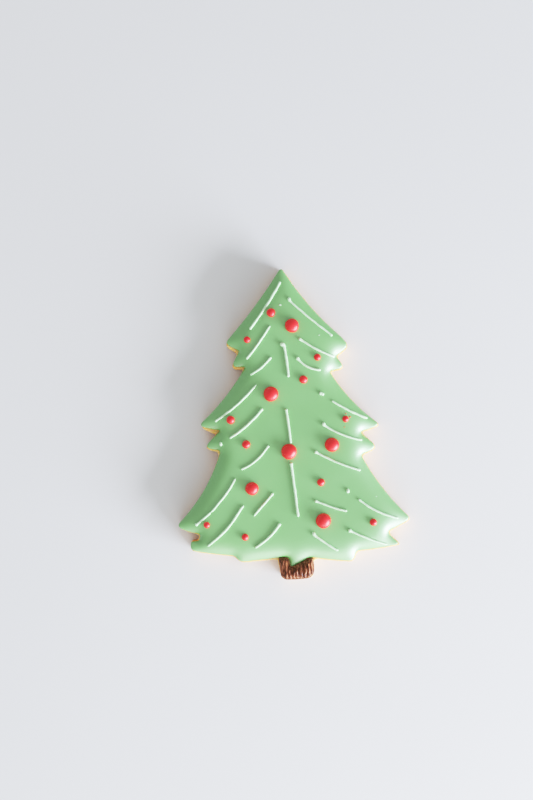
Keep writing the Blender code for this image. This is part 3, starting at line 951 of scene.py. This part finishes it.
# %% [markdown]
# ## The needles
# The piping is nearly white with a breath of mint, stiffer than the flood icing and a little glossier. It
# could share the green finish in a paler shade, but that one is deep in colour and would go milky. So it
# has a plain finish of its own. All strokes share it, so they are one mesh.

# %% All the needles
piping_finish, tree, shader = new_finish("pale_mint_piping", 0.38)
breath = mottling(tree, grain=2.5, detail=2)
mint = colour_steps(tree, breath, ((0.3, (0.58, 0.86, 0.55)), (0.7, (0.66, 0.92, 0.63))))
tree.links.new(mint, shader.inputs["Base Color"])
raise_surface(tree, shader, mottling(tree, grain=0.4, detail=2), 0.02)

strokes = [stroke_rings(number, needle) for number, needle in enumerate(NEEDLES)]
add_piece("piped_needles", *joined(strokes), piping_finish, "pale_piping")

# %% [markdown]
# ## One dot
# A dot is piped with the tip held still: the icing swells to a ball that is widest just over the surface,
# and settles. A large one settles to a smooth dome, a small one keeps a little peak. Scaled spheres would
# all be alike and would meet the icing with a thin edge, so each dot is turned from a profile and nudged.

# %% Profile of a dot
DOME_ROWS = 10
ROOT_ROWS = 2
DOT_WAIST = 0.22
WAIST_SHARE = 0.3
DOT_ROOT = 0.5
ROOT_TAPER = 0.12
PEAK_REACH = 0.35


def dot_profile(height, peak):
    """The rows of a dot from its top: share of its rise, share of its reach, and height over the icing."""
    waist = min(DOT_WAIST, WAIST_SHARE * height)
    rows = []
    for row in range(DOME_ROWS + 1):
        turn = math.pi / 2 * row / DOME_ROWS
        rise, reach = math.cos(turn), math.sin(turn)
        point = peak * height * math.exp(-((reach / PEAK_REACH) ** 2))
        rows.append((rise, reach, waist + (height - waist) * rise + point))
    for row in range(1, ROOT_ROWS + 1):
        rows.append((0, 1 - ROOT_TAPER * row, waist - row / ROOT_ROWS * (waist + DOT_ROOT)))
    return rows


# %% Turning a dot
DOT_SIDES = 30
DOT_LEAN = 0.06
DOT_WOBBLE = 0.07
WOBBLE_REACH = 0.8
WOBBLE_RISE = 0.3


def piped_dot(x, y, width, height, peak=0, stretch=(1.0, 1.0)):
    """A dome of icing on the surface. Peak is how much of its height is drawn to a point."""
    floor = icing_top([(x, y)])[0]
    lean_x, lean_y = (DOT_LEAN * width * noise.noise(Vector((x, y, level))) for level in (1.5, 8.5))
    rings = []
    rows = dot_profile(height, peak)
    for rise, reach, above in rows:
        for i in range(DOT_SIDES):
            angle = 2 * math.pi * i / DOT_SIDES
            across, along = math.cos(angle), math.sin(angle)
            place = Vector((x + WOBBLE_REACH * across, y + WOBBLE_REACH * along, WOBBLE_RISE * above))
            out = reach * width / 2 * (1 + DOT_WOBBLE * noise.noise(place))
            rings.append((
                x + out * across * stretch[0] + lean_x * rise,
                y + out * along * stretch[1] + lean_y * rise,
                floor + above,
            ))
    last = len(rows) - 1
    faces = []
    for row in range(last):
        faces += [tuple(reversed(face)) for face in band(row * DOT_SIDES, (row + 1) * DOT_SIDES, DOT_SIDES)]
    faces.append(tuple(range(DOT_SIDES)))
    faces.append(tuple(last * DOT_SIDES + i for i in reversed(range(DOT_SIDES))))
    return rings, faces


# %% [markdown]
# ## Drops and specks
# Where the bag was lifted, two round drops of pale icing fell, and three specks that are hardly raised. A
# painted spot would do for the specks from above, but would vanish from the side. So they are small dots
# like the rest: the drops half as high as they are wide, the specks almost flat.

# %% Pale drops and specks
DROPS = ((-22.4, 45.0, 1.2), (18.2, 27.8, 1.3))
SPECKS = ((-0.9, 89.3, 0.7), (11.3, 78.9, 0.45), (27.4, 25.5, 0.4))

drops = [piped_dot(x, y, width, 0.5 * width, peak=0.1, stretch=(0.85, 1.15)) for x, y, width in DROPS]
drops += [piped_dot(x, y, width, 0.2 * width, stretch=(1.2, 0.7)) for x, y, width in SPECKS]
add_piece("pale_drops", *joined(drops), piping_finish, "pale_piping")

# %% [markdown]
# ## Baubles
# Red baubles hang on the tree, six large and eleven small, and beside one of them lie three crumbs of the
# same icing. Red icing is glossier than the green and very deep in colour. With subsurface light it would
# go pink at the edges, so it is a plain strong red, and the window gives each bauble its highlight.

# %% Red icing
red_finish, tree, shader = new_finish("glossy_red_icing", 0.45)
shader.inputs["Specular IOR Level"].default_value = 0.8
streaky = mottling(tree, grain=1.2, detail=2)
red = colour_steps(tree, streaky, ((0.3, (0.92, 0.014, 0.018)), (0.7, (0.98, 0.024, 0.028))))
tree.links.new(red, shader.inputs["Base Color"])
raise_surface(tree, shader, mottling(tree, grain=0.5, detail=2), 0.02)
print("finish:", red_finish.name)

# %% Red baubles
BAUBLES = (
    (-4.0, 86.9, 2.8),
    (2.6, 82.4, 4.5),
    (-12.2, 78.5, 2.1),
    (10.4, 71.7, 2.2),
    (5.5, 64.7, 2.6),
    (-5.3, 60.5, 4.8),
    (-18.8, 52.7, 2.65),
    (18.6, 51.2, 2.1),
    (-14.1, 44.5, 2.6),
    (13.7, 43.0, 4.6),
    (-0.3, 41.5, 5.1),
    (9.6, 31.0, 2.4),
    (-12.9, 30.0, 4.3),
    (-28.2, 18.9, 2.0),
    (9.8, 18.5, 4.9),
    (26.0, 17.2, 2.3),
    (-15.9, 14.4, 2.2),
)
RED_CRUMBS = ((20.1, 51.8, 0.45), (18.8, 53.0, 0.3), (18.1, 48.6, 0.3))
LARGE_DOT = 4.5
LARGE_DOT_HEIGHT = 0.45
SMALL_DOT_HEIGHT = 0.52
SMALL_DOT_PEAK = 0.12


def bauble(x, y, width):
    """A red dot: the larger, the flatter and rounder."""
    size = min(1, width / LARGE_DOT)
    height = width * (SMALL_DOT_HEIGHT + (LARGE_DOT_HEIGHT - SMALL_DOT_HEIGHT) * size)
    return piped_dot(x, y, width, height, peak=SMALL_DOT_PEAK * (1 - size))


baubles = [bauble(*place) for place in BAUBLES]
baubles += [piped_dot(x, y, width, 0.4 * width) for x, y, width in RED_CRUMBS]
add_piece("red_baubles", *joined(baubles), red_finish, "red_icing")

# %% [markdown]
# ## The look of bark
# The brown icing looks nearly black in its grooves and tan on its ribs. One brown under strong light would be
# too even. So four browns follow a noise that is drawn out along the
# trunk, and the same noise raises the surface, so that the pale streaks are also the high ones. The near-black
# browns are painted shade in the low grooves and the tan is painted light on the high ribs, laid over the
# icing's own uneven brown.

# %% Bark finish
bark_finish, tree, shader = new_finish("combed_brown_icing", 0.5)
shader.inputs["Specular IOR Level"].default_value = 0.35
streaks_and_painted_shading = mottling(tree, grain=0.35, detail=3, stretch=(1, 5, 1))
# The near-black browns are painted shade in the grooves, and the tan is painted light on the ribs.
brown = colour_steps(tree, streaks_and_painted_shading, (
    (0.32, (0.030, 0.006, 0.002)),
    (0.47, (0.140, 0.038, 0.012)),
    (0.60, (0.370, 0.140, 0.064)),
    (0.72, (0.660, 0.330, 0.200)),
))
tree.links.new(brown, shader.inputs["Base Color"])
raise_surface(tree, shader, streaks_and_painted_shading, 0.10)
print("finish:", bark_finish.name)

# %% [markdown]
# ## Bark
# The trunk is stiff brown icing, combed along the trunk while it set, so it stands in uneven ribs with dark
# grooves. The ribs could be a wave texture, but they catch the window light and break the lower edge, so
# they are real relief: wavy ribs of unequal height, with finer streaks between them.

# %% Ribs of the bark
BARK = (
    (-5.4, 6.9, 0.5, 0.0),
    (-2.4, 6.9, 0.5, 0.0),
    (-1.6, 3.4, 0.6, 0.0),
    (4.9, 6.4, 0.5, 0.0),
    (6.1, 6.3, 0.6, 0.0),
    (6.2, 1.5, 1.0, 0.0),
    (5.0, -0.1, 0.9, 0.1),
    (2.6, -0.5, 0.6, 0.1),
    (-3.6, -0.5, 0.7, 0.0),
    (-4.9, 0.9, 0.6, 0.0),
)
BARK_FLOOR = 5.9
BARK_DEPTH = 2.1
BARK_LIP = 0.35
BARK_SPREAD = 0.8
RIB_PITCH = 1.2
RIB_DEPTH = 0.75
RIB_FULLNESS = 0.7  # the lower, the flatter the ribs are on top
RIB_WAVER = 0.55
WAVER_SIZE = (2.1, 2.6)
FAN, FAN_FROM = 0.02, (1, 3)  # the ribs spread downwards from this place
BREAK_DEPTH = 0.35
BREAK_SPACING = 2.4
STREAK_DEPTH = 0.24
STREAK_SIZE = (0.28, 1.5)
bark_line = rounded_line(BARK, spacing=0.25, corner_steps=6)


def bark_top(points):
    """How high the bark stands at each place: full inside, combed into ribs that waver and break off."""
    heights = []
    fill = 1 - np.exp(-edge_distance(points, bark_line) / BARK_SPREAD)
    for (x, y), full in zip(points, fill):
        waver = RIB_WAVER * noise.noise(Vector((x / WAVER_SIZE[0], y / WAVER_SIZE[1], 4.2)))
        across = (x + FAN * (y - FAN_FROM[1]) * (x - FAN_FROM[0]) + waver) / RIB_PITCH
        number = math.floor(across)
        rib = abs(math.sin(math.pi * across)) ** RIB_FULLNESS
        along = y / BREAK_SPACING + 0.5 * number
        broken = BREAK_DEPTH * noise.noise(Vector((number * 3.1, along, 2.2)))
        streak = STREAK_DEPTH * noise.noise(Vector((x / STREAK_SIZE[0], y / STREAK_SIZE[1], 1.1)))
        relief = RIB_DEPTH * rib + (broken + streak) * min(1, 2 * rib)
        heights.append(BARK_FLOOR + BARK_LIP + full * (BARK_DEPTH - BARK_LIP - RIB_DEPTH + relief))
    return np.array(heights)


# %% Combed bark
BARK_INSETS = (0.05, 0.12, 0.22)
BARK_GRID = (0.14, 0.2)
BARK_MARGIN = 0.3
BARK_SINK = 0.2


def make_bark():
    """The combed icing from its net of points, closed by its edge and a flat underside."""
    count = len(bark_line)
    inner = filled_with_points(bark_line, BARK_INSETS, BARK_GRID, BARK_MARGIN)
    flat, faces = triangulated(bark_line, inner)
    parts = [np.column_stack([flat, bark_top(flat)])]
    parts.append(np.column_stack([bark_line, np.full(count, BARK_FLOOR - BARK_SINK)]))
    faces += band(0, len(flat), count)
    faces.append(tuple(len(flat) + i for i in range(count)))
    return np.concatenate(parts), faces


bark = add_piece("combed_bark", *make_bark(), bark_finish, "brown_icing")
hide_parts("trunk_icing")
